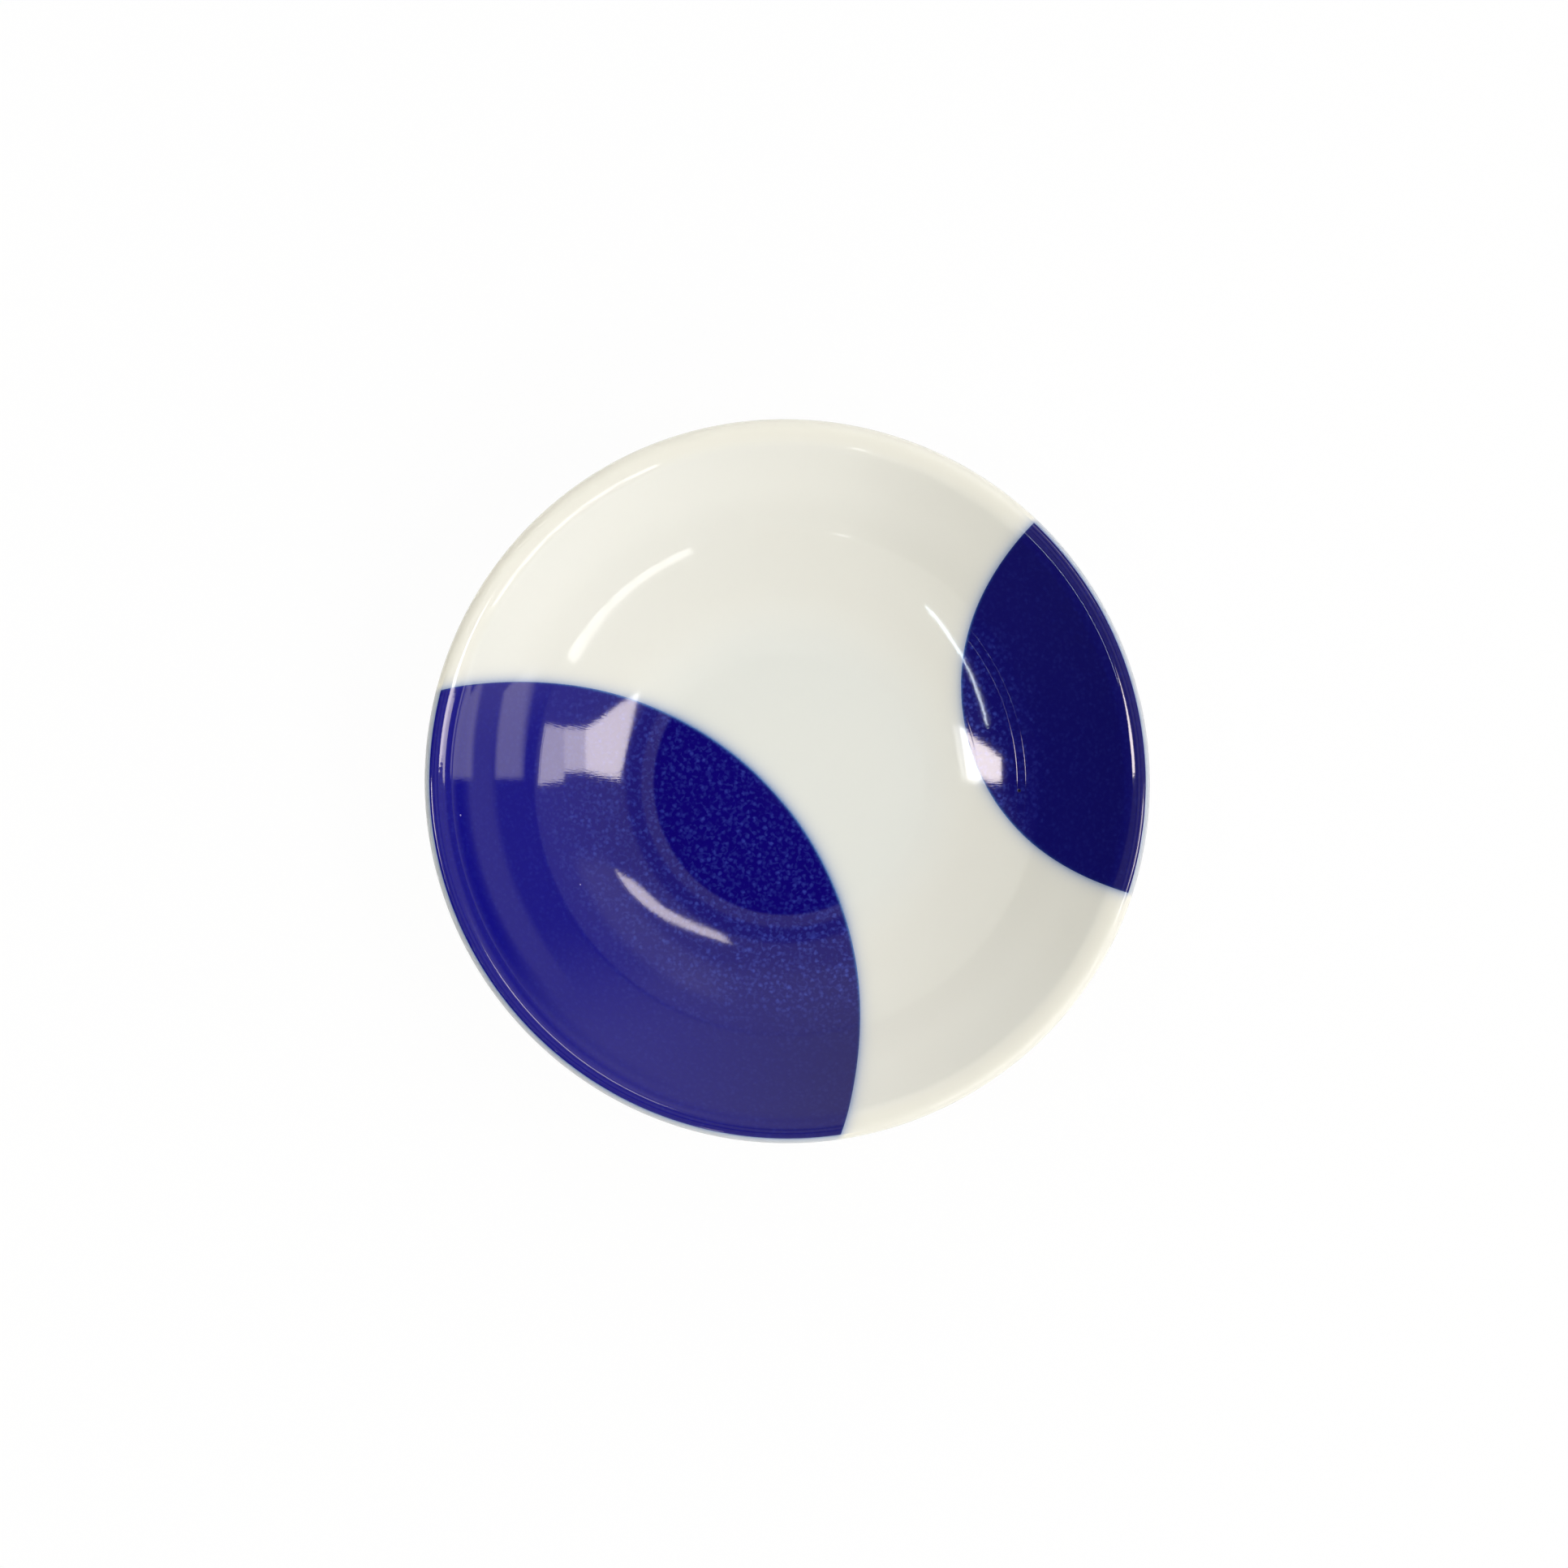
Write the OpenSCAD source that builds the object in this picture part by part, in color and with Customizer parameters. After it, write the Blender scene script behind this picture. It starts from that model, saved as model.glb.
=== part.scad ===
// Small round sauce dish: a shallow porcelain bowl on a turned foot ring,
// covered by a clear glaze, with two dips of cobalt-stained glaze inside.

/* [Rim] */
// Diameter over the rim
rim_d = 95; // [86:1:112]
// Radius of the rounded lip
lip_r = 1.7; // [1.6:0.05:2.2]
// Thickness of the wall just below the lip
rim_wall = 3; // [2.4:0.1:3]

/* [Inside] */
// Diameter of the flat floor
floor_d = 36.4; // [30:0.2:44]
// Radius of the curve of the lower wall
lower_wall_r = 86; // [76:1:110]
// Diameter of the line where the wall turns steeper
turn_d = 67.4; // [58:0.2:74]
// Radius of the curve of the upper wall
upper_wall_r = 65; // [60:1:72]

/* [Outside] */
// Thickness of the wall at the turning line
turn_wall = 3; // [2.6:0.1:3.6]
// Thickness of the floor
floor_t = 3.6; // [3:0.1:5]

/* [Foot] */
// Depth of the hollow under the floor
foot_well_h = 4.8; // [4.6:0.1:8]
// Outer diameter of the foot ring at its root
foot_d = 45.6; // [40:0.2:54]
// Width of the foot ring at its root
foot_w = 5; // [4.4:0.1:6]
// Taper of each flank of the foot ring
foot_taper = 0.5; // [0.2:0.1:0.8]
// Bevel on both edges of the bearing face
foot_bevel = 0.7; // [0.4:0.1:0.9]

/* [Glaze] */
// Thickness of the glaze
glaze_t = 0.35; // [0.25:0.05:0.5]
// Height of the glaze edge on the foot ring above the table
glaze_edge_h = 1.4; // [1.1:0.1:2.4]
// Angle on the lip, from its top outwards, where the inside glaze ends
lip_edge_angle = 36; // [20:1:60]

/* [Large cobalt dip] */
// Diameter of the large dip
large_dip_d = 88; // [76:1:110]
// Distance of its centre from the axis of the dish
large_dip_off = 46; // [40:1:56]
// Angle of its centre round the axis of the dish
large_dip_angle = 222; // [180:1:270]

/* [Small cobalt dip] */
// Diameter of the small dip
small_dip_d = 58; // [44:1:66]
// Distance of its centre from the axis of the dish
small_dip_off = 54; // [50:1:60]
// Angle of its centre round the axis of the dish
small_dip_angle = 14; // [0:1:60]

/* [Hidden] */
$fn = 240;

porcelain_color = [0.93, 0.92, 0.88];
glaze_color = [0.86, 0.87, 0.84];
cobalt_color = [0.08, 0.08, 0.42];

// Heights and centres of the inside curves
floor_r = floor_d / 2;
turn_r = turn_d / 2;
under_z = foot_well_h;
floor_z = under_z + floor_t;
lower_z = floor_z + sqrt(pow(lower_wall_r, 2) - pow(floor_r, 2));
turn_z = lower_z - sqrt(pow(lower_wall_r, 2) - pow(turn_r, 2));
upper_z = turn_z + sqrt(pow(upper_wall_r, 2) - pow(turn_r, 2));

// Centre of the lip, in the middle of the wall, and the direction across the wall there
lip_cr = rim_d / 2 - lip_r;
lip_arm = upper_wall_r + rim_wall / 2;
lip_z = upper_z - sqrt(pow(lip_arm, 2) - pow(lip_cr, 2));
lip_top = lip_z + lip_r;
lip = [lip_cr, lip_z];
across = [lip_cr / lip_arm, (lip_z - upper_z) / lip_arm];
lip_edge = [sin(lip_edge_angle), cos(lip_edge_angle)];

// Curve of the outside, through one point below the lip and one at the turning line
rim_out = lip + rim_wall / 2 * across;
turn_out = [turn_r, turn_z] + turn_wall / upper_wall_r * [turn_r, turn_z - upper_z];
rim_out_sq = rim_out * rim_out;
turn_out_sq = turn_out * turn_out;
outer_z = (rim_out_sq - turn_out_sq) / (2 * (rim_out[1] - turn_out[1]));
outer_r = sqrt(pow(rim_out[0], 2) + pow(outer_z - rim_out[1], 2));

// Middle of the porcelain at a given distance from the axis, below the turning line
function lower_in(r) = r < floor_r ? floor_z : lower_z - sqrt(pow(lower_wall_r, 2) - pow(r, 2));
function under_out(r) = max(under_z, outer_z - sqrt(pow(outer_r, 2) - pow(r, 2)));
function middle(r) = (lower_in(r) + under_out(r)) / 2;

foot_ro = foot_d / 2;
foot_ri = foot_ro - foot_w;
foot_mid = (foot_ro + foot_ri) / 2;

// Sizes of the areas that cut the sections, clear of the dish or inside the porcelain
reach = rim_d;
grip = 3 * lip_r;
under_glaze = 2 * glaze_t;

// Section of the space inside the dish, grown into the wall
module hollow(grow) {
    intersection() {
        translate([0, lower_z]) circle(r = lower_wall_r + grow);
        translate([0, upper_z]) circle(r = upper_wall_r + grow);
        translate([-reach, floor_z - grow]) square([2 * reach, 2 * reach]);
    }
}

// Half section of the bowl, drawn in by the thickness of the glaze
module bowl_section(inset) {
    intersection() {
        difference() {
            translate([0, outer_z]) circle(r = outer_r - inset);
            hollow(inset);
        }
        polygon([
            [0, under_z + inset],
            [reach, under_z + inset],
            lip + grip * across,
            lip - grip * across,
            [0, lip_z + grip]
        ]);
    }
    translate(lip) circle(r = lip_r - inset);
}

// Half section of the foot ring, drawn in by the thickness of the glaze
module foot_section(inset) {
    outer_root = foot_ro - inset;
    inner_root = foot_ri + inset;
    outer_edge = outer_root - foot_taper;
    inner_edge = inner_root + foot_taper;
    bevel_lean = foot_taper * foot_bevel / under_z;
    polygon([
        [inner_edge + foot_bevel, 0],
        [outer_edge - foot_bevel, 0],
        [outer_edge + bevel_lean, foot_bevel],
        [outer_root, under_z],
        [outer_root, middle(foot_ro)],
        [inner_root, middle(foot_ri)],
        [inner_root, under_z],
        [inner_edge - bevel_lean, foot_bevel]
    ]);
}

// Half section of the glaze all over the dish, down to its edge on the foot ring
module glaze_section() {
    difference() {
        union() {
            bowl_section(0);
            intersection() {
                foot_section(0);
                translate([0, glaze_edge_h]) square([reach, reach]);
            }
        }
        bowl_section(glaze_t);
        foot_section(glaze_t);
    }
}

// Part of the section plane on the inside of the dish, up to the edge on the lip
module inside_zone() {
    difference() {
        intersection() {
            hollow(under_glaze);
            square([reach, reach]);
        }
        polygon([lip, lip + grip * lip_edge, lip + [grip, 0], lip + grip * across]);
    }
    polygon([lip, lip - grip * across, lip + [0, grip], lip + grip * lip_edge]);
}

// Part of the section plane inside the foot ring
module foot_well_zone() {
    square([foot_mid, under_z + under_glaze]);
}

// Glaze on the inside of the dish
module inside_layer() {
    rotate_extrude() intersection() {
        glaze_section();
        inside_zone();
    }
}

// Reach of one dip, as an upright round
module dip(d, off, angle) {
    rotate([0, 0, angle]) translate([off, 0, 0]) cylinder(d = d, h = lip_top + grip);
}

module large_dip() {
    dip(large_dip_d, large_dip_off, large_dip_angle);
}

module small_dip() {
    dip(small_dip_d, small_dip_off, small_dip_angle);
}

// Shallow porcelain bowl with a rounded lip
module bowl() {
    color(porcelain_color) rotate_extrude() intersection() {
        bowl_section(glaze_t);
        square([reach, reach]);
    }
}

// Turned foot ring with a bare bearing face
module foot_ring() {
    color(porcelain_color) rotate_extrude() difference() {
        foot_section(glaze_t);
        bowl_section(glaze_t);
    }
}

// Clear glaze inside the dish, outside the two dips
module inside_glaze() {
    color(glaze_color) difference() {
        inside_layer();
        large_dip();
        small_dip();
    }
}

// Cobalt-stained glaze of the large dip
module large_cobalt_dip() {
    color(cobalt_color) intersection() {
        inside_layer();
        large_dip();
    }
}

// Cobalt-stained glaze of the small dip
module small_cobalt_dip() {
    color(cobalt_color) difference() {
        intersection() {
            inside_layer();
            small_dip();
        }
        large_dip();
    }
}

// Clear glaze on the outside of the wall and of the foot ring
module outside_glaze() {
    color(glaze_color) rotate_extrude() difference() {
        intersection() {
            glaze_section();
            square([reach, reach]);
        }
        inside_zone();
        foot_well_zone();
    }
}

// Clear glaze in the hollow under the floor
module foot_well_glaze() {
    color(glaze_color) rotate_extrude() intersection() {
        glaze_section();
        foot_well_zone();
    }
}

bowl();
foot_ring();
inside_glaze();
large_cobalt_dip();
small_cobalt_dip();
outside_glaze();
foot_well_glaze();
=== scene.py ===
import math

import bmesh
import bpy
import numpy as np
from mathutils import Matrix, Vector


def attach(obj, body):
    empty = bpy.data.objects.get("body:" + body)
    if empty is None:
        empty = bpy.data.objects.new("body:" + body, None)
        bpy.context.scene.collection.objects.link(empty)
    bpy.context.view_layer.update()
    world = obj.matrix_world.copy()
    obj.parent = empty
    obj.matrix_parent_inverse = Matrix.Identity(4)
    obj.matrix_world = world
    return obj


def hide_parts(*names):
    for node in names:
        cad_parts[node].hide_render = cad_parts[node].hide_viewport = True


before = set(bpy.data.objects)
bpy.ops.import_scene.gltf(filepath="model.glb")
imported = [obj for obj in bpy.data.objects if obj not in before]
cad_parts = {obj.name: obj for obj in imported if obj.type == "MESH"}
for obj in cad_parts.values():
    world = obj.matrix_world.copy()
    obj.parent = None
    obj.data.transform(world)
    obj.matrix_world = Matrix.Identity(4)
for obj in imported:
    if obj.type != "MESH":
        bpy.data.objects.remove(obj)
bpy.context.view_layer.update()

# Sizes of the dish, in metres
MM = 0.001
RIM_R = 47.5 * MM
LIP_R = 1.7 * MM
RIM_WALL = 3.0 * MM
FLOOR_R = 18.2 * MM
LOWER_WALL_R = 86.0 * MM
TURN_R = 33.7 * MM
UPPER_WALL_R = 65.0 * MM
TURN_WALL = 3.0 * MM
FLOOR_T = 3.6 * MM
FOOT_WELL_H = 4.8 * MM
FOOT_RO = 22.8 * MM
FOOT_W = 5.0 * MM
FOOT_TAPER = 0.5 * MM
FOOT_BEVEL = 0.7 * MM
GLAZE_T = 0.35 * MM
GLAZE_EDGE_H = 1.4 * MM
LIP_EDGE_ANGLE = math.radians(36)

# The two cobalt dips: radius, distance of the centre from the axis, angle of the centre
LARGE_DIP = (44.0 * MM, 46.0 * MM, math.radians(222))
SMALL_DIP = (29.0 * MM, 54.0 * MM, math.radians(14))

# Places worked out from these sizes
UNDER_Z = FOOT_WELL_H
FLOOR_Z = UNDER_Z + FLOOR_T
LOWER_Z = FLOOR_Z + math.sqrt(LOWER_WALL_R ** 2 - FLOOR_R ** 2)
TURN_Z = LOWER_Z - math.sqrt(LOWER_WALL_R ** 2 - TURN_R ** 2)
UPPER_Z = TURN_Z + math.sqrt(UPPER_WALL_R ** 2 - TURN_R ** 2)
LIP_CR = RIM_R - LIP_R
LIP_ARM = UPPER_WALL_R + RIM_WALL / 2
LIP_Z = UPPER_Z - math.sqrt(LIP_ARM ** 2 - LIP_CR ** 2)
LIP_EDGE_R = LIP_CR + LIP_R * math.sin(LIP_EDGE_ANGLE)
FOOT_RI = FOOT_RO - FOOT_W

# The lip has a gently rounded face towards the inside and a tight round outside
LIP_OUT_R = 1.25 * MM
LIP_FACE_R = 7.5 * MM
LIP_FACE_LOW = math.radians(30)
LIP_FACE_HIGH = math.radians(14)
LIP_TOP_R = RIM_R - LIP_OUT_R
LIP_FACE_CR = LIP_TOP_R + (LIP_FACE_R - LIP_OUT_R) * math.sin(LIP_FACE_HIGH)
LIP_START_R = LIP_FACE_CR - LIP_FACE_R * math.sin(LIP_FACE_LOW)
LIP_START_Z = UPPER_Z - math.sqrt(UPPER_WALL_R ** 2 - LIP_START_R ** 2)
LIP_FACE_Z = LIP_START_Z - LIP_FACE_R * math.cos(LIP_FACE_LOW)
LIP_OUT_Z = LIP_FACE_Z + (LIP_FACE_R - LIP_OUT_R) * math.cos(LIP_FACE_HIGH)

# Fine ridges that the turning tool left inside: distance from the axis, height
RIDGE_W = 0.045 * MM
RIDGES = (
    (21.4 * MM, 0.0014 * MM),
    (25.6 * MM, 0.0014 * MM),
    (30.7 * MM, 0.0040 * MM),
    (31.8 * MM, 0.0040 * MM),
    (32.7 * MM, 0.0026 * MM),
    (33.2 * MM, 0.0018 * MM),
    (36.6 * MM, 0.0016 * MM),
)
# The side where the tool cut deepest, and the share of the height that the ridges have on the other side
RIDGE_SIDE = math.radians(14)
RIDGE_FAR_SHARE = 0.15


def outer_curve():
    """Height of the centre and radius of the outside curve, through the rim and the turning line."""
    rim_r = LIP_CR * (1 + RIM_WALL / 2 / LIP_ARM)
    rim_z = LIP_Z + (LIP_Z - UPPER_Z) * RIM_WALL / 2 / LIP_ARM
    turn_r = TURN_R * (1 + TURN_WALL / UPPER_WALL_R)
    turn_z = TURN_Z + (TURN_Z - UPPER_Z) * TURN_WALL / UPPER_WALL_R
    z = (rim_r ** 2 + rim_z ** 2 - turn_r ** 2 - turn_z ** 2) / (2 * (rim_z - turn_z))
    return z, math.hypot(rim_r, z - rim_z)


OUTER_Z, OUTER_R = outer_curve()

# How far the glaze rounds the corners, and the corners in the hollow under the floor
SOFTENING = 0.28 * MM
FOOT_WELL_SOFTENING = 0.42 * MM
# Wider softening near the edge of the floor, where the lip begins and at the root of the foot
FLOOR_SOFTENING = 0.75 * MM
FLOOR_SOFT_REACH = 3.0 * MM
LIP_SOFTENING = 0.35 * MM
LIP_SOFT_REACH = 1.2 * MM
FOOT_SOFTENING = 0.6 * MM
FOOT_SOFT_REACH = 1.2 * MM

# Fineness of the meshes: step along an outline, most turn and length of a row, segments round the axis
FINE_STEP = 0.02 * MM
ROW_TURN = math.radians(2.2)
ROW_LENGTH = 1.0 * MM
RING_SEGMENTS = 360
# Points closer than this are one, and edges that turn more than this stay sharp
WELD = FINE_STEP / 100
SHARP_TURN = math.radians(40)


# Outlines in the half plane: distance from the axis, height


def arc(centre_z, radius, start, end):
    """Points of a curve centred on the axis, by the slope of the curve."""
    count = max(2, int(abs(end - start) * radius / FINE_STEP))
    slopes = np.linspace(start, end, count)
    return np.column_stack([radius * np.sin(slopes), centre_z - radius * np.cos(slopes)])


def bead(centre, radius, start, end):
    """Points of a part of the lip, by the angle from its top outwards."""
    angles = np.linspace(start, end, int(abs(end - start) * radius / FINE_STEP))
    return np.column_stack([centre[0] + radius * np.sin(angles), centre[1] + radius * np.cos(angles)])


def meeting_slope(centre_z, radius, lip_centre, lip_radius):
    """Slope of a curve centred on the axis where it meets a part of the lip from below."""
    arm = math.hypot(lip_centre[0], lip_centre[1] - centre_z)
    half = math.acos((radius ** 2 + arm ** 2 - lip_radius ** 2) / (2 * radius * arm))
    return math.asin(lip_centre[0] / arm) - half


def lip_angle(point, centre):
    return math.atan2(point[0] - centre[0], point[1] - centre[1])


def even_steps(points):
    """The same line with points at even fine steps."""
    points = np.vstack(points)
    lengths = np.hypot(*np.diff(points, axis=0).T)
    along = np.concatenate([[0], np.cumsum(lengths)])
    steps = np.linspace(0, along[-1], int(along[-1] / FINE_STEP))
    return np.column_stack([np.interp(steps, along, points[:, i]) for i in (0, 1)])


def soften(line, width):
    """Rounds the corners of a line that starts on the axis, as glaze does."""
    half = int(3 * width / FINE_STEP)
    offsets = np.arange(-half, half + 1)
    weights = np.exp(-0.5 * (offsets * FINE_STEP / width) ** 2)
    weights /= weights.sum()
    before = line[half:0:-1] * np.array([-1, 1])
    after = 2 * line[-1] - line[-2:-half - 2:-1]
    padded = np.vstack([before, line, after])
    return np.column_stack([np.convolve(padded[:, i], weights, "valid") for i in (0, 1)])


def with_normals(line):
    """Adds to each point the direction out of the dish, for a line with the dish on its right."""
    along = np.gradient(line, axis=0)
    along /= np.hypot(along[:, 0], along[:, 1])[:, None]
    return np.column_stack([line, -along[:, 1], along[:, 0]])


def rows_of(line, extra=()):
    """Picks the points of a fine line that its curve needs."""
    heading = np.unwrap(np.arctan2(line[:, 3], line[:, 2]))
    picked = [0]
    for i in range(1, len(line) - 1):
        last = picked[-1]
        turned = abs(heading[i] - heading[last])
        length = math.hypot(*(line[i, :2] - line[last, :2]))
        if turned > ROW_TURN or length > ROW_LENGTH or i in extra:
            picked.append(i)
    picked.append(len(line) - 1)
    return [tuple(line[i]) for i in picked]


def glazed_outline():
    """The glazed outline from the axis inside, over the lip, down to the glaze edge on the foot."""
    lip_face = (LIP_FACE_CR, LIP_FACE_Z)
    lip_out = (LIP_TOP_R, LIP_OUT_Z)
    lip_under = (LIP_CR, LIP_Z)
    lower_start = math.asin(FLOOR_R / LOWER_WALL_R)
    lower_end = math.asin(TURN_R / LOWER_WALL_R)
    upper_start = math.asin(TURN_R / UPPER_WALL_R)
    upper_end = math.asin(LIP_START_R / UPPER_WALL_R)
    outer_start = meeting_slope(OUTER_Z, OUTER_R, lip_under, LIP_R)
    outer = arc(OUTER_Z, OUTER_R, outer_start, math.asin(FOOT_RO / OUTER_R))
    lean = FOOT_TAPER * (1 - GLAZE_EDGE_H / UNDER_Z)
    line = even_steps([
        np.array([[0, FLOOR_Z], [FLOOR_R, FLOOR_Z]]),
        arc(LOWER_Z, LOWER_WALL_R, lower_start, lower_end),
        arc(UPPER_Z, UPPER_WALL_R, upper_start, upper_end),
        bead(lip_face, LIP_FACE_R, -LIP_FACE_LOW, -LIP_FACE_HIGH),
        bead(lip_out, LIP_OUT_R, -LIP_FACE_HIGH, math.pi / 2),
        bead(lip_under, LIP_R, math.pi / 2, lip_angle(outer[0], lip_under)),
        outer,
        np.array([[FOOT_RO, UNDER_Z], [FOOT_RO - lean, GLAZE_EDGE_H]]),
    ])
    inside = np.arange(len(line)) < np.argmax(line[:, 1])
    soft = soften(line, SOFTENING)
    floor_share = inside * np.exp(-((line[:, 0] - FLOOR_R) / FLOOR_SOFT_REACH) ** 2)
    lip_share = inside * np.exp(-((line[:, 0] - LIP_START_R) / LIP_SOFT_REACH) ** 2)
    foot_share = ~inside * np.exp(-((line[:, 1] - UNDER_Z) / FOOT_SOFT_REACH) ** 2)
    soft += floor_share[:, None] * (soften(line, FLOOR_SOFTENING) - soft)
    soft += lip_share[:, None] * (soften(line, LIP_SOFTENING) - soft)
    soft += foot_share[:, None] * (soften(line, FOOT_SOFTENING) - soft)
    return with_normals(soft)


def foot_well_outline():
    """The glazed outline from the axis under the floor to the glaze edge inside the foot ring."""
    lean = FOOT_TAPER * (1 - GLAZE_EDGE_H / UNDER_Z)
    line = even_steps([np.array([[0, UNDER_Z], [FOOT_RI, UNDER_Z], [FOOT_RI + lean, GLAZE_EDGE_H]])])
    soft = with_normals(soften(line, FOOT_WELL_SOFTENING))
    soft[:, 2:] *= -1
    return soft


def foot_section():
    """The closed outline of the foot ring, with a rounded bearing edge."""
    outer = FOOT_RO - GLAZE_T
    inner = FOOT_RI + GLAZE_T
    top = UNDER_Z + GLAZE_T
    bevel_lean = FOOT_TAPER * (1 - FOOT_BEVEL / UNDER_Z)
    line = even_steps([np.array([
        [outer, top],
        [outer, UNDER_Z],
        [outer - bevel_lean, FOOT_BEVEL],
        [outer - FOOT_TAPER - FOOT_BEVEL, 0],
        [inner + FOOT_TAPER + FOOT_BEVEL, 0],
        [inner + bevel_lean, FOOT_BEVEL],
        [inner, UNDER_Z],
        [inner, top],
    ])])
    half = len(line) // 2
    middle = np.array([line[half, 0], 0])
    mirror = np.array([-1, 1])
    right = soften(line[half::-1] - middle, SOFTENING) + middle
    left = soften((line[half:] - middle) * mirror, SOFTENING) * mirror + middle
    whole = np.vstack([right[::-1], left[1:]])
    whole[:, 1] = np.maximum(whole[:, 1], 0)
    return [row[:2] for row in rows_of(with_normals(whole))]


# Hand-made shape: a slightly uneven round, the same for all pieces

# Waves round the dish, their size as a share of the distance from the axis or as a height, and their phase
WARP_ROUND = ((2, 0.0014, 1.1), (3, 0.0009, 0.4), (5, 0.0004, 2.0))
WARP_RISE = ((2, 0.10 * MM, 0.5), (3, 0.05 * MM, 2.2))


def placed(r, z, angle):
    """A point of the dish, turned round the axis and warped a little towards the rim."""
    share = max(0.0, (r - FOOT_RO) / (RIM_R - FOOT_RO)) ** 2
    r *= 1 + share * sum(size * math.cos(k * angle + phase) for k, size, phase in WARP_ROUND)
    z += share * sum(size * math.cos(k * angle + phase) for k, size, phase in WARP_RISE)
    return (r * math.cos(angle), r * math.sin(angle), z)


def smooth(r, angle):
    return 0.0


def ridged(r, angle):
    """Height of the fine ridges inside, which fade on the side away from the deepest cut."""
    facing = max(0.0, math.cos(angle - RIDGE_SIDE)) ** 2
    share = RIDGE_FAR_SHARE + (1 - RIDGE_FAR_SHARE) * facing
    return share * sum(height * math.exp(-((r - place) / RIDGE_W) ** 2) for place, height in RIDGES)


def glaze_pair(row, angle, relief):
    """The outer and the inner point of the glaze at one place."""
    r, z, out_r, out_z = row
    outer = placed(r, z + relief(r, angle), angle)
    return outer, placed(r - GLAZE_T * out_r, z - GLAZE_T * out_z, angle)


def glaze_grid(rows, span, columns, relief):
    """A grid of glaze points between the two angles that span gives for each distance."""
    grid = []
    for row in rows:
        start, end = span(row[0])
        angles = [start + (end - start) * j / columns for j in range(columns + 1)]
        grid.append([glaze_pair(row, angle, relief) for angle in angles])
    return grid


def finish_mesh(name, bm, material, node):
    """Makes the piece, rounds its shading but for sharp edges, and puts it on the frame."""
    bmesh.ops.recalc_face_normals(bm, faces=bm.faces)
    for face in bm.faces:
        face.smooth = True
    for edge in bm.edges:
        edge.smooth = edge.calc_face_angle(math.pi) < SHARP_TURN
    mesh = bpy.data.meshes.new(name)
    bm.to_mesh(mesh)
    bm.free()
    mesh.materials.append(material)
    piece = bpy.data.objects.new(name, mesh)
    bpy.context.scene.collection.objects.link(piece)
    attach(piece, "root")
    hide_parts(node)
    return piece


def glaze_layer(name, grids, material, node):
    """A closed layer of glaze from grids of outer and inner points that share their borders."""
    bm = bmesh.new()
    known = {}
    outer = []
    inner = []
    faces = []

    def number(pair):
        key = tuple(round(c / WELD) for c in pair[0])
        if key not in known:
            known[key] = len(outer)
            outer.append(bm.verts.new(pair[0]))
            inner.append(bm.verts.new(pair[1]))
        return known[key]

    for grid in grids:
        for near, far in zip(grid, grid[1:]):
            for j in range(len(near) - 1):
                corners = [number(p) for p in (near[j], far[j], far[j + 1], near[j + 1])]
                corners = list(dict.fromkeys(corners))
                if len(corners) > 2:
                    faces.append(corners)
    borders = {}
    for corners in faces:
        borders.update(dict.fromkeys(zip(corners, corners[1:] + corners[:1])))
        bm.faces.new([outer[i] for i in corners])
        bm.faces.new([inner[i] for i in reversed(corners)])
    for a, b in borders:
        if (b, a) not in borders:
            bm.faces.new([outer[b], outer[a], inner[a], inner[b]])
    return finish_mesh(name, bm, material, node)


def turned_piece(name, section, material, node):
    """A piece turned round the axis, whose section closes on itself or starts and ends on the axis."""
    bm = bmesh.new()
    rings = []
    for k in range(RING_SEGMENTS):
        angle = 2 * math.pi * k / RING_SEGMENTS
        rings.append([bm.verts.new(placed(r, z, angle)) for r, z in section])
    steps = list(zip(range(len(section)), range(1, len(section))))
    if section[0][0] > 0:
        steps.append((len(section) - 1, 0))
    for ring, following in zip(rings, rings[1:] + rings[:1]):
        for i, j in steps:
            bm.faces.new([ring[i], ring[j], following[j], following[i]])
    bmesh.ops.remove_doubles(bm, verts=bm.verts, dist=WELD)
    return finish_mesh(name, bm, material, node)


# Edges of the dips, with the slight waver of a dip by hand

# Waves of the waver: size, length of one wave, phase
WAVER = ((0.10 * MM, 70 * MM, 0.3), (0.05 * MM, 27 * MM, 1.7))
# Distance from the start of a dip in which the waver grows
WAVER_GROWTH = 2 * MM


def dip_start(dip):
    return dip[1] - dip[0]


def half_angle(dip, r):
    """Half of the angle round the axis that a dip covers at a distance from the axis."""
    radius, off, _ = dip
    if r <= dip_start(dip):
        return 0.0
    half = math.acos((r * r + off * off - radius * radius) / (2 * r * off))
    grown = min(1.0, (r - dip_start(dip)) / WAVER_GROWTH)
    waver = sum(size * math.sin(2 * math.pi * r / wave + phase) for size, wave, phase in WAVER)
    return half + grown * waver / r


def between(first, second):
    """The angles from the edge of one dip to the edge of the next, at any distance from the axis."""
    def span(r):
        end = second[2] if second[2] > first[2] else second[2] + 2 * math.pi
        return first[2] + half_angle(first, r), end - half_angle(second, r)
    return span


def across(dip):
    """The angles from one edge of a dip to the other, at any distance from the axis."""
    def span(r):
        half = half_angle(dip, r)
        return dip[2] - half, dip[2] + half
    return span


# Materials

# A small pit in the glaze: radius, depth, distance from the axis and angle, and its core as a share
PIT_R = 0.26 * MM
PIT_DEPTH = 0.08 * MM
PIT_AT = 31.0 * MM
PIT_ANGLE = math.radians(-2)
PIT_CORE = 0.5

# Uneven edge of the stain: size of its spots and how far it runs
RAGGED_SIZE = 0.35 * MM
RAGGED_REACH = 0.16 * MM

# Width of the turning marks, and sizes of the spots and streaks in the skin of the glaze
MARK_SIZE = 0.9 * MM
PEEL_SIZE = 0.8 * MM
STREAK_SIZE = 0.22 * MM
# How much a streak changes along its length, as a share of how much it changes across
STREAK_SHARE = 0.22

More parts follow.
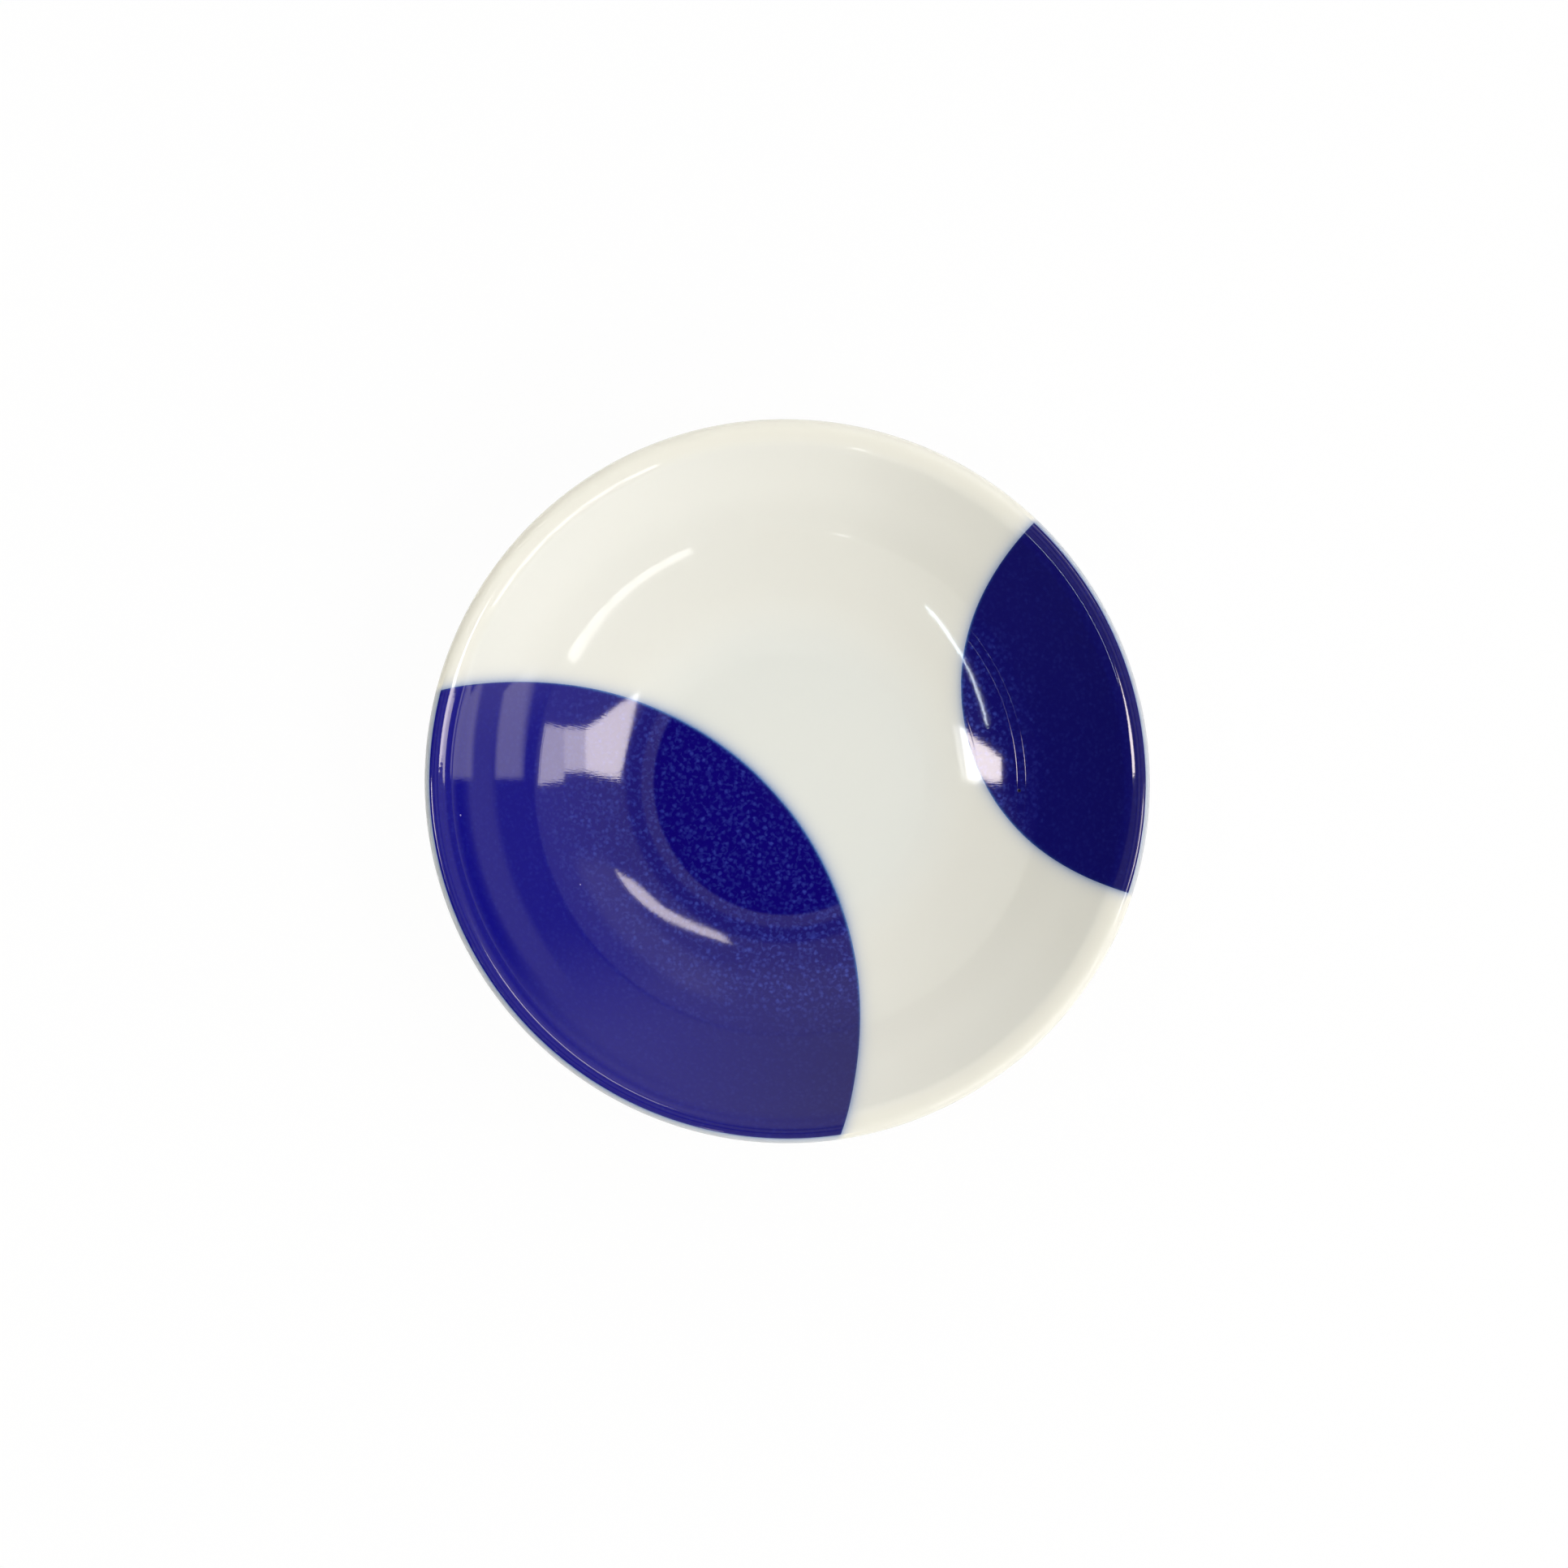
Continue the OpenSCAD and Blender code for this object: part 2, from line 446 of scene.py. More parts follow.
# Dots: core of a dot as a share of its size, and strength of the faintest. Specks: share that is left out
DOT_CORE = 0.15
DOT_FAINTEST = 0.25
SPECK_LEFT_OUT = 0.45

# How strongly glaze bends light
GLAZE_IOR = 1.5

# Where the glaze gets thicker, from the slope to the floor
POOL_EDGE = (FLOOR_R + 8 * MM, FLOOR_R - 2 * MM)


class Graph:
    """Nodes of a material or of the world, made and linked by short calls."""

    def __init__(self, tree):
        self.tree = tree

    def node(self, kind, **settings):
        node = self.tree.nodes.new(kind)
        for key, value in settings.items():
            setattr(node, key, value)
        return node

    def put(self, socket, value):
        if isinstance(value, bpy.types.NodeSocket):
            self.tree.links.new(value, socket)
        elif socket.type == "RGBA":
            socket.default_value = value + (1.0,)
        else:
            socket.default_value = value

    def math(self, operation, *values):
        node = self.node("ShaderNodeMath", operation=operation)
        for socket, value in zip(node.inputs, values):
            self.put(socket, value)
        return node.outputs["Value"]

    def add(self, *values):
        total = values[0]
        for value in values[1:]:
            total = self.math("ADD", total, value)
        return total

    def times(self, *values):
        product = values[0]
        for value in values[1:]:
            product = self.math("MULTIPLY", product, value)
        return product

    def ease(self, value, start, end):
        """0 at start and 1 at end, with a soft turn at both."""
        node = self.node("ShaderNodeMapRange", interpolation_type="SMOOTHSTEP")
        self.put(node.inputs["Value"], value)
        self.put(node.inputs["From Min"], start)
        self.put(node.inputs["From Max"], end)
        return node.outputs["Result"]

    def fade(self, distance, reach):
        """1 at no distance, falling off over the given reach."""
        return self.math("EXPONENT", self.math("DIVIDE", self.math("MAXIMUM", distance, 0.0), -reach))

    def split(self, vector):
        node = self.node("ShaderNodeSeparateXYZ")
        self.put(node.inputs[0], vector)
        return node.outputs["X"], node.outputs["Y"], node.outputs["Z"]


class Shade(Graph):
    """One material and the nodes that colour it."""

    def __init__(self, name, roughness):
        self.material = bpy.data.materials.new(name)
        self.material.use_nodes = True
        super().__init__(self.material.node_tree)
        self.surface = self.tree.nodes["Principled BSDF"]
        self.surface.inputs["Roughness"].default_value = roughness
        self.surface.inputs["IOR"].default_value = GLAZE_IOR
        self.place = self.node("ShaderNodeTexCoord").outputs["Object"]
        self.height = self.split(self.place)[2]
        flat = self.node("ShaderNodeVectorMath", operation="MULTIPLY")
        self.put(flat.inputs[0], self.place)
        flat.inputs[1].default_value = (1, 1, 0)
        self.plan = flat.outputs["Vector"]
        self.radius = self.length(self.plan)

    def length(self, vector):
        node = self.node("ShaderNodeVectorMath", operation="LENGTH")
        self.put(node.inputs[0], vector)
        return node.outputs["Value"]

    def mix(self, share, first, second):
        node = self.node("ShaderNodeMix", data_type="RGBA")
        self.put(node.inputs["Factor"], share)
        self.put(node.inputs[6], first)
        self.put(node.inputs[7], second)
        return node.outputs[2]

    def noise(self, size, detail=2.0, distortion=0.0, vector=None):
        """Clouds from 0 to 1 whose spots are about the given size, in metres."""
        node = self.node("ShaderNodeTexNoise")
        self.put(node.inputs["Vector"], self.place if vector is None else vector)
        self.put(node.inputs["Scale"], 1 / size)
        self.put(node.inputs["Detail"], detail)
        self.put(node.inputs["Distortion"], distortion)
        return node.outputs["Fac"]

    def wobbled(self, size, amount):
        """The place, moved about a little by clouds of the given size; both in metres."""
        cloud = self.node("ShaderNodeTexNoise")
        self.put(cloud.inputs["Vector"], self.place)
        self.put(cloud.inputs["Scale"], 1 / size)
        moved = self.node("ShaderNodeVectorMath", operation="MULTIPLY_ADD")
        self.put(moved.inputs[0], cloud.outputs["Color"])
        moved.inputs[1].default_value = (amount, amount, amount)
        self.put(moved.inputs[2], self.place)
        return moved.outputs["Vector"]

    def dots(self, spacing, size, vector):
        """Soft dots of uneven strength, at about the given spacing, in metres."""
        node = self.node("ShaderNodeTexVoronoi")
        self.put(node.inputs["Vector"], vector)
        self.put(node.inputs["Scale"], 1 / spacing)
        shape = self.ease(node.outputs["Distance"], size / spacing, DOT_CORE * size / spacing)
        strength = self.split(node.outputs["Color"])[0]
        return self.times(shape, self.add(self.times(strength, 1 - DOT_FAINTEST), DOT_FAINTEST))

    def specks(self, spacing, size):
        """Tiny specks, each a share of the given size, in metres."""
        node = self.node("ShaderNodeTexVoronoi")
        self.put(node.inputs["Vector"], self.place)
        self.put(node.inputs["Scale"], 1 / spacing)
        chance, share, _ = self.split(node.outputs["Color"])
        reach = self.times(share, size / spacing)
        near = self.math("LESS_THAN", node.outputs["Distance"], reach)
        return self.times(near, self.math("GREATER_THAN", chance, SPECK_LEFT_OUT))

    def distance(self, off, angle):
        """Distance, seen from above, of a point given by its distance from the axis and its angle."""
        node = self.node("ShaderNodeVectorMath", operation="SUBTRACT")
        self.put(node.inputs[0], self.plan)
        node.inputs[1].default_value = (off * math.cos(angle), off * math.sin(angle), 0)
        return self.length(node.outputs["Vector"])

    def pit(self):
        """1 in a small pit that a bubble left in the glaze."""
        return self.ease(self.distance(PIT_AT, PIT_ANGLE), PIT_R, PIT_CORE * PIT_R)

    def dip_distance(self, dip):
        """Distance outside the edge of a dip, seen from above; negative within it."""
        radius, off, angle = dip
        return self.math("SUBTRACT", self.distance(off, angle), radius)

    def cobalt_distance(self):
        """Distance outside the nearest dip; negative within one."""
        return self.math("MINIMUM", self.dip_distance(LARGE_DIP), self.dip_distance(SMALL_DIP))

    def ragged_edge(self):
        """How far the stain runs more or less than its edge, from place to place, in metres."""
        return self.times(self.math("SUBTRACT", self.noise(RAGGED_SIZE), 0.5), RAGGED_REACH)

    def turning_marks(self):
        """Fine uneven rings round the axis, as the potter's tool leaves them."""
        rings = self.node("ShaderNodeCombineXYZ")
        self.put(rings.inputs["X"], self.radius)
        return self.noise(MARK_SIZE, detail=3.0, vector=rings.outputs["Vector"])

    def streaks(self):
        """Fine streaks that run out from the axis, at their given width on the turning line."""
        way = self.node("ShaderNodeVectorMath", operation="NORMALIZE")
        self.put(way.inputs[0], self.plan)
        along = self.node("ShaderNodeCombineXYZ")
        self.put(along.inputs["Z"], self.times(self.radius, STREAK_SHARE))
        ring = self.node("ShaderNodeVectorMath", operation="MULTIPLY_ADD")
        self.put(ring.inputs[0], way.outputs["Vector"])
        ring.inputs[1].default_value = (TURN_R, TURN_R, TURN_R)
        self.put(ring.inputs[2], along.outputs["Vector"])
        return self.noise(STREAK_SIZE, detail=1.0, vector=ring.outputs["Vector"])

    def pool(self):
        """0 on the slope and 1 on the floor, where the glaze is thicker."""
        return self.ease(self.radius, *POOL_EDGE)

    def bump(self, height):
        """Bends the light by a height in metres."""
        node = self.node("ShaderNodeBump")
        self.put(node.inputs["Height"], height)
        node.inputs["Distance"].default_value = 1.0
        self.put(self.surface.inputs["Normal"], node.outputs["Normal"])

    def glaze_bump(self, depths, *more):
        """The faint skin of a fired glaze over turning marks."""
        peel, skin, marks = depths
        self.bump(self.add(
            self.times(self.noise(PEEL_SIZE, detail=1.0), peel),
            self.times(self.streaks(), skin),
            self.times(self.turning_marks(), marks),
            *more,
        ))

    def colour(self, value):
        self.put(self.surface.inputs["Base Color"], value)
        return self.material


# Colours, as linear values
WHITE_WARM = (0.840, 0.828, 0.755)
WHITE_COOL = (0.790, 0.803, 0.758)
WHITE_SLOPE_SHADE = (0.690, 0.680, 0.615)
LIP_CREAM = (0.848, 0.824, 0.728)
HALO_BLUE = (0.070, 0.172, 0.440)
COBALT_DEEP = (0.0036, 0.0006, 0.150)
COBALT_LEFT = (0.0042, 0.0028, 0.205)
COBALT_RIGHT_SHADE = (0.0036, 0.0030, 0.122)
COBALT_SPOT = (0.0310, 0.0480, 0.350)
COBALT_SHEEN = (1.0, 0.90, 0.86, 1.0)
SPECK_PALE = (0.420, 0.400, 0.720)
SPECK_BROWN = (0.300, 0.260, 0.200)
PIT_DARK = (0.004, 0.004, 0.020)
BARE_CLAY = (0.700, 0.640, 0.540)
BARE_CLAY_PALE = (0.780, 0.740, 0.660)
FLASH = (0.560, 0.330, 0.170)

# Depths of the spots, streaks and turning marks in the skin of each glaze, in metres
INSIDE_SKIN = (0.5e-6, 1.5e-6, 0.4e-6)
OUTSIDE_SKIN = (1.2e-6, 0.3e-6, 1.5e-6)
FOOT_WELL_SKIN = (2.0e-6, 0.4e-6, 4.0e-6)

# The white: clouds, cool floor, painted shade on the slope and creamy lip, with the share of each colour
CLOUD_SIZE = 16 * MM
CLOUD_SHARE = 0.4
POOL_SHARE = 0.7
SLOPE_START = (FLOOR_R + 2 * MM, FLOOR_R + 9 * MM)
SLOPE_END = (TURN_R + 6 * MM, TURN_R + 1 * MM)
SLOPE_SHARE = 0.22
CREAM_START = (LIP_CR - 2.2 * MM, LIP_CR - 0.4 * MM)
CREAM_SHARE = 0.6
# Specks of each glaze: spacing and size
WHITE_SPECKS = (13 * MM, 0.16 * MM)
WHITE_SPECK_SHARE = 0.6
COBALT_SPECKS = (4.2 * MM, 0.13 * MM)
COBALT_SPECK_SHARE = 0.75


def white_under_glaze(shade):
    """White porcelain under clear glaze: warm clouds, cooler on the floor, and painted shade on the slope
    round it.
    """
    clouds = shade.noise(CLOUD_SIZE, detail=3.0)
    share = shade.add(shade.times(clouds, CLOUD_SHARE), shade.times(shade.pool(), POOL_SHARE))
    white = shade.mix(shade.math("MINIMUM", share, 1.0), WHITE_WARM, WHITE_COOL)
    # Painted shade: the white is darker on the slope round the floor.
    slope = shade.times(shade.ease(shade.radius, *SLOPE_START), shade.ease(shade.radius, *SLOPE_END))
    white = shade.mix(shade.times(slope, SLOPE_SHARE), white, WHITE_SLOPE_SHADE)
    lip = shade.ease(shade.radius, *CREAM_START)
    white = shade.mix(shade.times(lip, CREAM_SHARE), white, LIP_CREAM)
    specks = shade.specks(*WHITE_SPECKS)
    return shade.mix(shade.times(specks, WHITE_SPECK_SHARE), white, SPECK_BROWN)


# The halo where the stain bleeds into the clear glaze: reach, share on the slope, and more on the floor
HALO_REACH = 0.64 * MM
HALO_SHARE = 0.64
HALO_POOL_SHARE = 0.34


def make_inside_glaze():
    shade = Shade("clear_glaze_inside", roughness=0.04)
    near = shade.add(shade.cobalt_distance(), shade.ragged_edge())
    strength = shade.add(HALO_SHARE, shade.times(shade.pool(), HALO_POOL_SHARE))
    halo = shade.times(shade.fade(near, HALO_REACH), strength)
    shade.glaze_bump(INSIDE_SKIN)
    return shade.colour(shade.mix(halo, white_under_glaze(shade), HALO_BLUE))


# The cobalt: deep on the floor, and darker from the left to the right as painted shade
DEEP_EDGE = (TURN_R + 2 * MM, FLOOR_R)
RIGHT_SHADE_EDGE = (-28 * MM, 18 * MM)
# Mottling: slow drift and the least of it, dots with their spacing and size, and worms between them
DRIFT_SIZE = 6 * MM
DRIFT_LEAST = 0.6
DRIFT_SHARE = 0.8
DOT_WOBBLE = (0.5 * MM, 0.5 * MM)
DOTS = (0.76 * MM, 0.42 * MM)
WORM_SIZE = 0.55 * MM
WORM_EDGE = (0.50, 0.78)
WORM_SHARE = 0.45
# Amount of mottling: a little everywhere, more inside the turning line, and most on the slope on the right
# side
MOTTLED_EDGE = (TURN_R + 3 * MM, FLOOR_R + 6 * MM)
MOTTLED_WALL_EDGE = (FLOOR_R - 1 * MM, FLOOR_R + 2 * MM)
MOTTLED_LEAST = 0.12
MOTTLED_SHARE = 0.42
MOTTLED_WALL_SHARE = 0.38
# Pale edge of the stain
EDGE_REACH = 0.10 * MM
EDGE_SHARE = 0.95


def mottling(shade, right_side):
    """Paler dots and worms in the cobalt, more of them inside the turning line."""
    drift = shade.add(DRIFT_LEAST, shade.times(shade.noise(DRIFT_SIZE), DRIFT_SHARE))
    dots = shade.dots(*DOTS, shade.wobbled(*DOT_WOBBLE))
    worms = shade.ease(shade.noise(WORM_SIZE, detail=0.0, distortion=0.6), *WORM_EDGE)
    spots = shade.add(dots, shade.times(worms, WORM_SHARE))
    wide = shade.ease(shade.radius, *MOTTLED_EDGE)
    on_wall = shade.ease(shade.radius, *MOTTLED_WALL_EDGE)
    more = shade.add(MOTTLED_SHARE, shade.times(on_wall, right_side, MOTTLED_WALL_SHARE))
    amount = shade.add(MOTTLED_LEAST, shade.times(wide, more))
    return shade.math("MINIMUM", shade.times(spots, drift, amount), 1.0)


def make_cobalt_glaze():
    shade = Shade("cobalt_glaze", roughness=0.04)
    shade.surface.inputs["Specular Tint"].default_value = COBALT_SHEEN
    deep = shade.ease(shade.radius, *DEEP_EDGE)
    # Painted shade: the cobalt is darker towards the right; the same share also gives more mottling there
    right_side = shade.ease(shade.split(shade.place)[0], *RIGHT_SHADE_EDGE)
    base = shade.mix(deep, shade.mix(right_side, COBALT_LEFT, COBALT_RIGHT_SHADE), COBALT_DEEP)
    base = shade.mix(mottling(shade, right_side), base, COBALT_SPOT)
    specks = shade.specks(*COBALT_SPECKS)
    base = shade.mix(shade.times(specks, COBALT_SPECK_SHARE), base, SPECK_PALE)
    # The dark core of the pit is painted shade in its hollow.
    base = shade.mix(shade.pit(), base, PIT_DARK)
    inward = shade.times(shade.add(shade.cobalt_distance(), shade.ragged_edge()), -1.0)
    edge = shade.times(shade.fade(inward, EDGE_REACH), EDGE_SHARE)
    shade.glaze_bump(INSIDE_SKIN, shade.times(shade.pit(), -PIT_DEPTH))
    return shade.colour(shade.mix(edge, base, HALO_BLUE))


# The stain that runs over the lip: where it is inside a dip, and its narrow and wide bleed
OVER_EDGE = (0.7 * MM, -0.5 * MM)
NARROW_BLEED = 0.12 * MM
NARROW_SHARE = 0.35
WIDE_BLEED = 1.6 * MM
WIDE_SHARE = 0.50
# Cool glaze that pools at the root of the foot
ROOT_EDGE = (UNDER_Z + 1.5 * MM, UNDER_Z - 0.5 * MM)
ROOT_SHARE = 0.35


def make_outside_glaze():
    shade = Shade("clear_glaze_outside", roughness=0.05)
    in_dip = shade.ease(shade.cobalt_distance(), *OVER_EDGE)
    past = shade.math("ABSOLUTE", shade.math("SUBTRACT", shade.radius, LIP_EDGE_R))
    narrow = shade.times(shade.fade(past, NARROW_BLEED), NARROW_SHARE)
    bleed = shade.add(narrow, shade.times(shade.fade(past, WIDE_BLEED), WIDE_SHARE))
    top = shade.ease(shade.height, LIP_Z - LIP_R, LIP_Z)
    root = shade.ease(shade.height, *ROOT_EDGE)
    white = shade.mix(shade.times(root, ROOT_SHARE), white_under_glaze(shade), WHITE_COOL)
    shade.glaze_bump(OUTSIDE_SKIN)
    return shade.colour(shade.mix(shade.times(bleed, in_dip, top), white, HALO_BLUE))


FOOT_WELL_CLOUD_SIZE = 10 * MM


def make_foot_well_glaze():
    shade = Shade("clear_glaze_foot_well", roughness=0.06)
    clouds = shade.noise(FOOT_WELL_CLOUD_SIZE, detail=3.0)
    shade.glaze_bump(FOOT_WELL_SKIN)
    return shade.colour(shade.mix(clouds, WHITE_COOL, WHITE_WARM))


# Bare porcelain: clouds, grain with its depth, turning marks and the toasted line along the glaze edge
CLAY_CLOUD_SIZE = 6 * MM
CLAY_GRAIN_SIZE = 0.35 * MM
CLAY_GRAIN_EDGE = (0.58, 0.72)
CLAY_GRAIN_SHARE = 0.35
CLAY_GRAIN_DEPTH = 40e-6
CLAY_MARK_DEPTH = 30e-6
FLASH_REACH = 0.25 * MM
FLASH_SHARE = 0.45


def make_bare_porcelain():
    shade = Shade("bare_porcelain", roughness=0.75)
    grain = shade.noise(CLAY_GRAIN_SIZE, detail=4.0)
    clay = shade.mix(shade.noise(CLAY_CLOUD_SIZE, detail=3.0), BARE_CLAY, BARE_CLAY_PALE)
    spots = shade.times(shade.ease(grain, *CLAY_GRAIN_EDGE), CLAY_GRAIN_SHARE)
    clay = shade.mix(spots, clay, BARE_CLAY)
    edge = shade.math("ABSOLUTE", shade.math("SUBTRACT", shade.height, GLAZE_EDGE_H))
    flash = shade.times(shade.fade(edge, FLASH_REACH), FLASH_SHARE)
    marks = shade.times(shade.turning_marks(), CLAY_MARK_DEPTH)
    shade.bump(shade.add(shade.times(grain, CLAY_GRAIN_DEPTH), marks))
    return shade.colour(shade.mix(flash, clay, FLASH))


# Grain of the porcelain under the glaze
BODY_GRAIN_SIZE = 0.4 * MM
BODY_GRAIN_DEPTH = 15e-6


def make_porcelain():
    shade = Shade("porcelain", roughness=0.55)
    grain = shade.noise(BODY_GRAIN_SIZE, detail=4.0)
    shade.bump(shade.times(grain, BODY_GRAIN_DEPTH))
    return shade.colour(shade.mix(grain, BARE_CLAY_PALE, WHITE_WARM))


# Pieces

# Fine rows where a dip starts: in this distance, with this many steps that grow
START_REACH = 1.2 * MM
START_STEPS = 8
# Fine rows over a ridge: as far as this many widths to both sides, and their number
RIDGE_REACH = 2.2
RIDGE_ROWS = 9

# Columns of the glaze grids
WIDE_GAP_COLUMNS = 150
NARROW_GAP_COLUMNS = 110
LARGE_DIP_COLUMNS = 130
SMALL_DIP_COLUMNS = 80
FOOT_WELL_COLUMNS = RING_SEGMENTS // 2

# The outline, parted at the edge on the lip where the inside glaze ends
outline = glazed_outline()
edge_index = int(np.argmin(np.abs(outline[:, 0] - LIP_EDGE_R) + (outline[:, 1] < LIP_Z)))
inside_line = outline[:edge_index + 1]
outside_line = outline[edge_index:]


def rows_near_start(dip):
    """Fine rows where a dip begins, because its edge runs nearly along them."""
    first = int(np.searchsorted(inside_line[:, 0], dip_start(dip), side="right")) - 1
    reach = START_REACH / FINE_STEP
    return [first + int(reach * (k / START_STEPS) ** 2) for k in range(START_STEPS + 1)]


def rows_near_ridge(r):
    """Fine rows over a ridge."""
    offsets = np.linspace(-RIDGE_REACH, RIDGE_REACH, RIDGE_ROWS) * RIDGE_W
    return [int(i) for i in np.searchsorted(inside_line[:, 0], r + offsets)]


fine_rows = set(rows_near_start(LARGE_DIP) + rows_near_start(SMALL_DIP))
for ridge_r, _ in RIDGES:
    fine_rows.update(rows_near_ridge(ridge_r))
inside_rows = rows_of(inside_line, fine_rows)


def rows_from(dip):
    """Rows of a dip, from the one where its two edges meet."""
    before = [row for row in inside_rows if row[0] <= dip_start(dip)]
    return before[-1:] + [row for row in inside_rows if row[0] > dip_start(dip)]


inside = glaze_layer("inside_glaze_layer", [
    glaze_grid(inside_rows, between(SMALL_DIP, LARGE_DIP), WIDE_GAP_COLUMNS, ridged),
    glaze_grid(inside_rows, between(LARGE_DIP, SMALL_DIP), NARROW_GAP_COLUMNS, ridged),
], make_inside_glaze(), "inside_glaze")

cobalt = make_cobalt_glaze()

large = glaze_layer("large_cobalt_layer", [
    glaze_grid(rows_from(LARGE_DIP), across(LARGE_DIP), LARGE_DIP_COLUMNS, ridged),
], cobalt, "large_cobalt_dip")

small = glaze_layer("small_cobalt_layer", [
    glaze_grid(rows_from(SMALL_DIP), across(SMALL_DIP), SMALL_DIP_COLUMNS, ridged),
], cobalt, "small_cobalt_dip")


def all_round(r):
    return 0.0, 2 * math.pi


outside = glaze_layer("outside_glaze_layer", [
    glaze_grid(rows_of(outside_line), all_round, RING_SEGMENTS, smooth),
], make_outside_glaze(), "outside_glaze")

foot_well = glaze_layer("foot_well_glaze_layer", [
    glaze_grid(rows_of(foot_well_outline()), all_round, FOOT_WELL_COLUMNS, smooth),
], make_foot_well_glaze(), "foot_well_glaze")

foot = turned_piece("turned_foot_ring", foot_section(), make_bare_porcelain(), "foot_ring")


def bowl_section():
    """Half of the section of the bowl: the glazed outline without the glaze, over a flat underside."""
    under = UNDER_Z + GLAZE_T
    rows = inside_rows + rows_of(outside_line)[1:]
    line = [(r - GLAZE_T * out_r, z - GLAZE_T * out_z) for r, z, out_r, out_z in rows]
    line = [(max(r, 0.0), z) for r, z in line if z > under]
    return line + [(line[-1][0], under), (0.0, under)]


bowl = turned_piece("porcelain_bowl", bowl_section(), make_porcelain(), "bowl")


# Floor, light and camera

FLOOR_SIZE = 3.0
FLOOR_STEPS = 12
FLOOR_WHITE = (0.9, 0.9, 0.9)
# Share of plain white that the floor shows to the camera, in reflections and through glass
FLOOR_GLOW = 0.95


def make_floor():
    """A white floor that keeps a soft shadow."""
    bm = bmesh.new()
    places = [FLOOR_SIZE * (i / FLOOR_STEPS - 0.5) for i in range(FLOOR_STEPS + 1)]
    rows = [[bm.verts.new((x, y, 0)) for y in places] for x in places]
    for row, following in zip(rows, rows[1:]):
        for j in range(FLOOR_STEPS):
            bm.faces.new([row[j], following[j], following[j + 1], row[j + 1]])
    mesh = bpy.data.meshes.new("floor")
    bm.to_mesh(mesh)
    bm.free()
    floor = bpy.data.objects.new("floor", mesh)
    bpy.context.scene.collection.objects.link(floor)
    shade = Shade("floor_white", roughness=0.9)
    path = shade.node("ShaderNodeLightPath").outputs
    seen = shade.math("MAXIMUM", path["Is Camera Ray"], path["Is Glossy Ray"])
    seen = shade.math("MAXIMUM", seen, path["Is Transmission Ray"])
    glow = shade.node("ShaderNodeEmission")
    blend = shade.node("ShaderNodeMixShader")
    shade.put(blend.inputs[0], shade.times(seen, FLOOR_GLOW))
    shade.put(blend.inputs[1], shade.surface.outputs["BSDF"])
    shade.put(blend.inputs[2], glow.outputs["Emission"])
    shade.put(shade.tree.nodes["Material Output"].inputs["Surface"], blend.outputs["Shader"])
    mesh.materials.append(shade.colour(FLOOR_WHITE))


make_floor()

LAMP_HEIGHT = 0.75
LAMP_COLOUR = (1.0, 0.99, 0.985)
LAMP_BLUISH = (0.72, 0.88, 1.0)

# A level lamp panel in front: centre, length, width, turn in degrees and brightness
FRONT_LAMP = (-0.146, -0.766, 0.048, 0.144, -11.0, 6.0)

# Windows at the same height, of panes: brightness and corners that turn left round the pane
WINDOWS = {
    "far_right": (
        (2.4, (1.45, -0.59), (2.07, -0.57), (2.05, 0.05), (1.43, 0.03)),
    ),
    "farthest_right": (
        (2.0, (3.22, -0.92), (4.62, -0.88), (4.58, 0.12), (3.18, 0.08)),
    ),
    "right": (
        (14.0, (0.349, -0.177), (0.499, -0.101), (0.497, 0.002), (0.394, 0.017)),
        (9.0, (0.499, -0.101), (0.573, -0.106), (0.568, 0.004), (0.497, 0.002)),
        (7.0, (0.573, -0.106), (0.652, -0.118), (0.674, 0.040), (0.568, 0.025)),
    ),
    "left": (
        (21.0, (-0.364, -0.104), (-0.386, 0.021), (-0.485, 0.026), (-0.485, -0.031)),
        (7.0, (-0.350, -0.104), (-0.372, 0.021), (-0.379, 0.021), (-0.357, -0.104)),
    ),
    "back_right": (
        (11.0, (0.421, 0.230), (0.404, 0.256), (0.375, 0.289), (0.370, 0.249)),
        (11.0, (0.375, 0.289), (0.349, 0.308), (0.304, 0.334), (0.300, 0.307), (0.370, 0.249)),
        (11.0, (0.304, 0.334), (0.264, 0.352), (0.222, 0.366), (0.220, 0.344), (0.300, 0.307)),
        (11.0, (0.222, 0.366), (0.180, 0.379), (0.143, 0.389), (0.165, 0.365), (0.220, 0.344)),
    ),
}

# Softness of the edges of the panes, to the right and left and to the front and back, and of far windows
PANE_SOFTNESS = (0.003, 0.003)
FAR_SOFTNESS = {
    "far_right": (0.09, 0.02),
    "farthest_right": (0.25, 0.04),
}

# Curved rows of panels: middle, inner edge, width, start and end in degrees, panels, brightness, colour
LAMP_ROWS = {
    "front_right": ((0.028, 0.028), 0.607, 0.220, -68.0, -29.0, 5, 5.0, LAMP_COLOUR),
    "thin_left": ((0.213, 0.033), 0.670, 0.004, -176.0, -141.0, 6, 40.0, LAMP_BLUISH),
    "glow_left": ((0.213, 0.033), 0.675, 0.008, -176.0, -141.0, 6, 1.5, LAMP_BLUISH),
}

# Large soft lamps that give light but don't show in the glaze: distance, size, tilt from above in degrees
SOFT_DISTANCE = 0.90
SOFT_SIZE = 0.60
SOFT_TILT = 62.0
SOFT_WARM = (1.0, 0.975, 0.84)
SOFT_AMBER = (1.0, 0.95, 0.71)
# Each of them: angle round the axis in degrees, brightness, colour
SOFT_LAMPS = {
    "soft_right": (0.0, 0.88, LAMP_COLOUR),
    "soft_back": (90.0, 1.30, LAMP_COLOUR),
    "soft_left": (180.0, 1.29, SOFT_AMBER),
    "soft_front": (-75.0, 0.62, SOFT_WARM),
}


